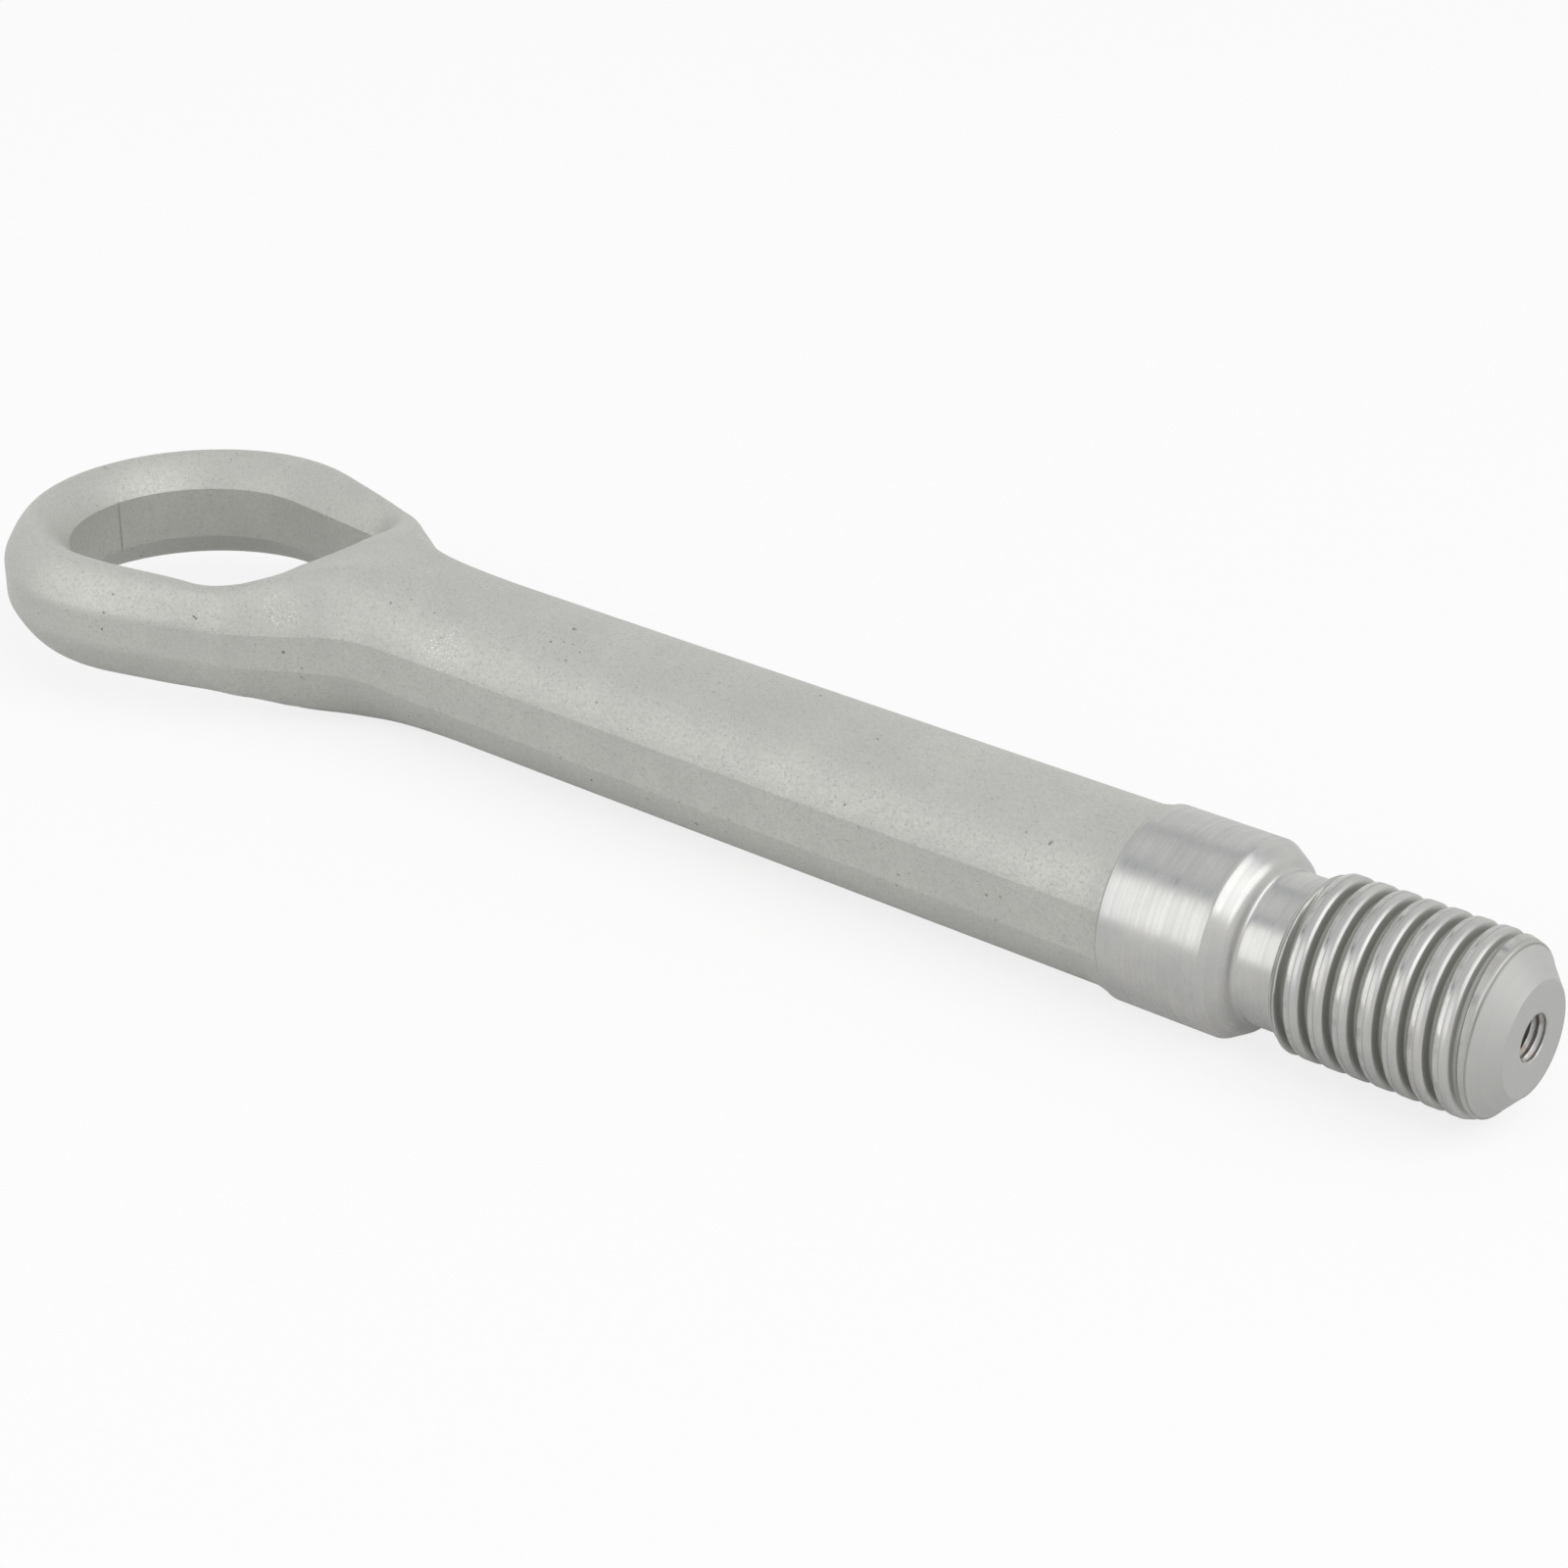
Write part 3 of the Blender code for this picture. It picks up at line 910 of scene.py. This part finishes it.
@dataclass(frozen=True)
class BlastedCoat:
    """Light grey coat over shot-blasted forged steel."""

    name: str = "blasted_coat"
    colour: Tone = (0.52, 0.525, 0.492, 1.0)
    worn: Tone = (0.575, 0.58, 0.54, 1.0)
    roughness: float = 0.45
    metallic: float = 0.35
    speckle: Tone = (0.40, 0.40, 0.38, 1.0)
    # shine is the tone of the painted glints, bright spots of painted highlight.
    shine: Tone = (0.85, 0.85, 0.80, 1.0)
    pit: Tone = (0.13, 0.13, 0.12, 1.0)
    dot: Tone = (0.24, 0.24, 0.22, 1.0)
    scored: Tone = (0.18, 0.18, 0.17, 1.0)
    placing: Placing = Placing()
    line_x: float = -151.4
    line_y: float = 0.8
    relief_m: float = 0.00005
    line_steep: Span = (0.004, 0.03)
    # Places of the painted glints on the near side, each a middle and a reach in mm.
    glint_places: tuple[tuple[Place, float], ...] = (
        ((-108.8, -12.6, 5.0), 3.2),
        ((-88.0, -9.0, 5.5), 5.0),
    )

    def material(self) -> bpy.types.Material:
        """Fine grain, small dark pits, painted glints at a few places and a tool line in the eye.

        The tool line is the product of a band across it, where its offset
        squared is small, and a start and an end along the part.

        Returns:
            The material.
        """
        kit = ShaderKit(self.name)
        at = kit.place()
        length = kit.millimetres(at, "X") - self.placing.rear_to_origin
        offset = kit.millimetres(at, "Y") - self.line_y
        grain = kit.noise(at, 2600.0, 2.0, 0.6)
        fine = kit.noise(at, 5200.0, 1.0, 0.5)
        cloud = kit.noise(at, 90.0, 4.0, 0.6)
        pits = kit.clamp_range(kit.noise(at, 1600.0, 1.0, 0.4), 0.24, 0.28, 1.0, 0.0)
        pepper = kit.clamp_range(kit.noise(at, 3400.0, 1.0, 0.4), 0.28, 0.36, 1.0, 0.0)
        sparse = kit.clamp_range(kit.noise(at, 130.0, 1.0, 0.5), 0.58, 0.64)
        marks = pits * sparse
        tone = kit.blend(kit.clamp_range(cloud, 0.35, 0.68), self.colour, self.worn)
        speck = kit.blend(kit.clamp_range(grain, 0.35, 0.65, 0.0, 0.3), tone, self.speckle)
        # Painted highlight: bright glints on a few near-side places, where the coat is also made smoother.
        painted_glints = kit.clamp_range(fine, 0.60, 0.66) * self.glint_mask(kit, at)
        glinted = kit.blend(painted_glints * 0.8, speck, self.shine)
        pitted = kit.blend(marks * 0.7, glinted, self.pit)
        dotted = kit.blend(pepper * 0.3, pitted, self.dot)
        line = kit.clamp_range(offset * offset, *self.line_steep, 1.0, 0.0)
        line = line * kit.clamp_range(length, self.line_x - 0.08, self.line_x - 0.03)
        line = line * kit.clamp_range(length, self.line_x + 0.5, self.line_x + 0.8, 1.0, 0.0)
        colour = kit.blend(line * kit.clamp_range(cloud, 0.3, 0.6, 0.25, 0.6), dotted, self.scored)
        rough = kit.clamp_range(grain, 0.3, 0.7, self.roughness - 0.06, self.roughness + 0.08)
        rough = rough - painted_glints * 0.2
        height = grain * 0.8 + fine * 0.5 + cloud * 0.5 - marks * 1.2 - pepper * 0.3
        relief = kit.bump(height, self.relief_m, 0.9)
        return kit.finish({
            "Base Color": colour, "Roughness": rough, "Metallic": self.metallic, "Normal": relief,
        })

    def glint_mask(self, kit: ShaderKit, at: Wire) -> Wire:
        """Mask of the places that get painted glints and a smoother coat, 1 at each middle.

        Each place is a middle in the axis frame and a reach, in mm.

        Args:
            kit: The material's kit.
            at: Place on the piece.

        Returns:
            The mask.
        """
        total: Any = 0.0
        for middle, reach in self.glint_places:
            centre = tuple(self.placing.to_part(np.array(middle)) * MM)
            away = kit.node("ShaderNodeVectorMath", {"operation": "DISTANCE"}, {0: at, 1: centre}, "Value")
            total = kit.clamp_range(away, 0.35 * reach * MM, reach * MM, 1.0, 0.0) + total
        return total


@dataclass(frozen=True)
class TurnedSteel:
    """Bright turned steel with fine lathe rings, painted shade deep in the thread's grooves and a matte
    blasted tip.
    """

    name: str = "turned_steel"
    colour: Tone = (0.465, 0.465, 0.455, 1.0)
    worn: Tone = (0.52, 0.515, 0.495, 1.0)
    # Tone of the painted shade deep in the thread's grooves.
    groove: Tone = (0.35, 0.355, 0.325, 1.0)
    # Tone of the darker blotches on one flank of each crest.
    lobe_dark_tone: Tone = (0.34, 0.33, 0.30, 1.0)
    rust: Tone = (0.20, 0.10, 0.06, 1.0)
    blasted: Tone = (0.50, 0.50, 0.485, 1.0)
    roughness: float = 0.26
    metallic: float = 0.9
    ring: Tone = (0.36, 0.36, 0.35, 1.0)
    # line is the tone of painted shade along the crest's seam and at the small step before the tip.
    line: Tone = (0.20, 0.20, 0.19, 1.0)
    placing: Placing = Placing()
    groove_start: float = 17.0
    pitch: float = 2.6
    tip: float = 38.86
    thread_begins: Span = (18.6, 19.0)
    groove_shade_radii: Span = (8.1, 8.82)
    hole_radii: Span = (2.3, 2.5)
    relief_m: float = 0.00001

    def material(self) -> bpy.types.Material:
        """Tones by the radius and the place in the thread's pitch.

        The place in the pitch is the fraction of (length less start) over the
        pitch less the turns made, so that 0 is the crest's seam and a half is
        the groove's middle.

        Returns:
            The material.
        """
        kit = ShaderKit(self.name)
        at = kit.place()
        length = kit.millimetres(at, "X") - self.placing.rear_to_origin
        y = kit.millimetres(at, "Y")
        z = kit.millimetres(at, "Z") - self.placing.axis_height
        radius = (y * y + z * z).root()
        turn = z.turn(y) * (1.0 / TURN)
        place = ((length - self.groove_start) * (1.0 / self.pitch) - turn).fraction()
        body = kit.clamp_range(length, self.tip, self.tip + 0.12, 1.0, 0.0)
        matte = 1.0 - body
        thread = kit.clamp_range(length, *self.thread_begins) * body
        # Painted shade: darker deep in the thread's grooves, which are also made rougher there.
        deep_shade = kit.clamp_range(radius, *self.groove_shade_radii, 1.0, 0.0) * thread
        # Painted shade: a thin dark line at the step before the tip, and below it along the crest's seam.
        rim = kit.clamp_range(length, self.tip - 0.1, self.tip - 0.05) * body
        seam = kit.clamp_range(place, 0.965, 0.985) * kit.clamp_range(place, 0.99, 1.0, 1.0, 0.6)
        lobe = kit.clamp_range(place, 0.5, 0.52) * kit.clamp_range(place, 0.93, 0.97, 1.0, 0.0) * thread
        inside = kit.clamp_range(radius, *self.hole_radii, 1.0, 0.0) * matte
        streak_at = kit.node("ShaderNodeMapping", {}, {"Vector": at, "Scale": (1.0, 0.004, 0.004)}, "Vector")
        lathe = kit.noise(streak_at, 2200.0, 2.0, 0.6)
        fine = kit.noise(streak_at, 9000.0, 1.0, 0.5)
        cloud = kit.noise(at, 240.0, 3.0, 0.6)
        grain = kit.noise(at, 2600.0, 2.0, 0.6)
        bright = kit.blend(kit.clamp_range(cloud, 0.35, 0.65), self.colour, self.worn)
        ringed = kit.blend(kit.clamp_range(lathe, 0.4, 0.75, 0.0, 0.3), bright, self.ring)
        groove_shaded = kit.blend(deep_shade * 0.92, ringed, self.groove)
        seam_and_step_shaded = kit.blend(seam * thread * 0.45 + rim * 0.5, groove_shaded, self.line)
        # Darker blotches on one flank of each crest, from just past the groove's middle to near the seam.
        blotch = kit.clamp_range(kit.noise(at, 620.0, 2.0, 0.6), 0.45, 0.62, 0.0, 0.55)
        lobe_darkened = kit.blend(lobe * blotch * (1.0 - deep_shade), seam_and_step_shaded, self.lobe_dark_tone)
        tipped = kit.blend(matte, lobe_darkened, self.blasted)
        patches = kit.clamp_range(kit.noise(at, 420.0, 3.0, 0.6), 0.45, 0.62, 0.0, 0.75)
        rusty = kit.blend(inside * patches, tipped, self.rust)
        rough = kit.clamp_range(lathe, 0.3, 0.7, self.roughness - 0.05, self.roughness + 0.09)
        rough = rough + deep_shade * 0.2 + (matte - inside) * 0.22 - lobe * 0.09 + (thread - lobe) * 0.1
        metal = self.metallic - (matte - inside) * 0.45 - deep_shade * 0.2
        height = (lathe + fine * 0.5) * body + grain * matte * 0.8 + cloud * 0.2
        relief = kit.bump(height, self.relief_m, 0.3)
        return kit.finish({"Base Color": rusty, "Roughness": rough, "Metallic": metal, "Normal": relief})


@dataclass(frozen=True)
class Lamp:
    """A rectangular lamp: its place, its two sides and how bright its face is, where 1 is white."""

    name: str
    place: Place
    size: Span
    glow: float

    def hang(self, aim: Place) -> None:
        """Add the lamp, facing a place.

        Args:
            aim: What it lights.
        """
        data = bpy.data.lights.new(self.name, "AREA")
        data.shape = "RECTANGLE"
        data.size, data.size_y = self.size
        data.energy = self.glow * math.pi * self.size[0] * self.size[1]
        made = bpy.data.objects.new(self.name, data)
        made.location = self.place
        made.rotation_euler = (Vector(aim) - Vector(self.place)).to_track_quat("-Z", "Y").to_euler()
        bpy.context.scene.collection.objects.link(made)


@dataclass(frozen=True)
class Studio:
    """Floor, lights and the camera at the photograph's angle, in metres."""

    floor_size: float = 6.0
    fill: float = 0.58
    lens: float = 81.0
    sensor: float = 36.0
    position: Place = (0.22301, -0.254845, 0.170106)
    forward: Place = (-0.572004, 0.692481, -0.439637)
    white: Tone = (1.0, 1.0, 1.0, 1.0)
    floor_tone: Tone = (0.58, 0.58, 0.58, 1.0)
    gap_tone: Tone = (0.30, 0.34, 0.42, 1.0)
    gap_begins: Span = (0.73, 0.765)
    gap_ends: Span = (0.785, 0.83)
    middle: Place = (0.0, 0.0, 0.01)
    lamps: tuple[Lamp, ...] = (
        Lamp("front", (-0.43, -0.84, 0.36), (1.1, 0.9), 0.8),
        Lamp("overhead", (0.64, 0.0, 0.77), (1.4, 0.6), 1.5),
    )

    def floor(self) -> bpy.types.Object:
        """A pale floor that stays white to the camera but keeps the shadow.

        Returns:
            The floor.
        """
        half = 0.5 * self.floor_size
        mesh = bpy.data.meshes.new("floor")
        corners = [(-half, -half, 0.0), (half, -half, 0.0), (half, half, 0.0), (-half, half, 0.0)]
        mesh.from_pydata(corners, [], [(0, 1, 2, 3)])
        made = bpy.data.objects.new("floor", mesh)
        bpy.context.scene.collection.objects.link(made)
        kit = ShaderKit("floor")
        seen, shine, clear = kit.rays()
        share = kit.clamp_range(seen + (shine + clear) * 0.2, 0.0, 1.0, 0.0, 0.8)
        pale = kit.clamp_range(seen + shine + clear, 0.0, 1.0)
        tone = kit.blend(pale, self.floor_tone, self.white)
        diffuse = kit.node("ShaderNodeBsdfDiffuse", {}, {"Color": tone}, "BSDF")
        white = kit.node("ShaderNodeEmission", {}, {"Color": self.white, "Strength": 1.0}, "Emission")
        kit.node_output(kit.node("ShaderNodeMixShader", {}, {0: share, 1: diffuse, 2: white}, "Shader"))
        mesh.materials.append(kit.material)
        return made

    def world(self) -> None:
        """White to the camera and in reflections, a soft fill on the rest.

        Reflections also show a darker gap high up, as between two lights.
        """
        world = bpy.data.worlds.new("studio")
        bpy.context.scene.world = world
        world.use_nodes = True
        tree = world.node_tree
        tree.nodes.clear()
        kit = ShaderKit.of_tree(tree)
        up = kit.part(kit.node("ShaderNodeTexCoord", {}, {}, "Generated"), "Z")
        gap = kit.clamp_range(up, *self.gap_begins) * kit.clamp_range(up, *self.gap_ends, 1.0, 0.0)
        ceiling = kit.blend(gap, self.white, self.gap_tone)
        seen, shine, clear = kit.rays()
        share = kit.clamp_range(seen + shine + clear, 0.0, 1.0)
        background = "ShaderNodeBackground"
        fill = kit.node(background, {}, {"Color": self.white, "Strength": self.fill}, "Background")
        shown = kit.node(background, {}, {"Color": ceiling, "Strength": 1.0}, "Background")
        mixed = kit.node("ShaderNodeMixShader", {}, {0: share, 1: fill, 2: shown}, "Shader")
        output = tree.nodes.new("ShaderNodeOutputWorld")
        tree.links.new(mixed.socket, output.inputs["Surface"])

    def camera(self) -> None:
        """Add the camera found from the turned end's circles."""
        data = bpy.data.cameras.new("camera")
        data.lens = self.lens
        data.sensor_width = self.sensor
        data.clip_start = 0.01
        made = bpy.data.objects.new("camera", data)
        made.location = self.position
        made.rotation_euler = Vector(self.forward).to_track_quat("-Z", "Y").to_euler()
        bpy.context.scene.collection.objects.link(made)
        bpy.context.scene.camera = made

    def build(self) -> None:
        """Set the stage."""
        self.floor()
        self.world()
        for lamp in self.lamps:
            lamp.hang(self.middle)
        self.camera()
        bpy.context.scene.view_settings.view_transform = "Standard"


def dress(piece: bpy.types.Object, finish: BlastedCoat | TurnedSteel) -> None:
    """Give a piece its finish and tie it to the part.

    Args:
        piece: The piece.
        finish: Its finish.
    """
    piece.data.materials.append(finish.material())
    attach(piece, "root")
    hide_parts("tow_hook")
    LOG.info("%s: %d faces", piece.name, len(piece.data.polygons))


def main() -> None:
    """Build the pieces and the studio."""
    logging.basicConfig(level=logging.INFO, format="%(name)s %(message)s")
    Studio().build()
    placing = Placing()
    dress(Forging(placing).build(), BlastedCoat())
    dress(TurnedEnd(placing).build(), TurnedSteel())


if __name__ == "__main__":
    main()
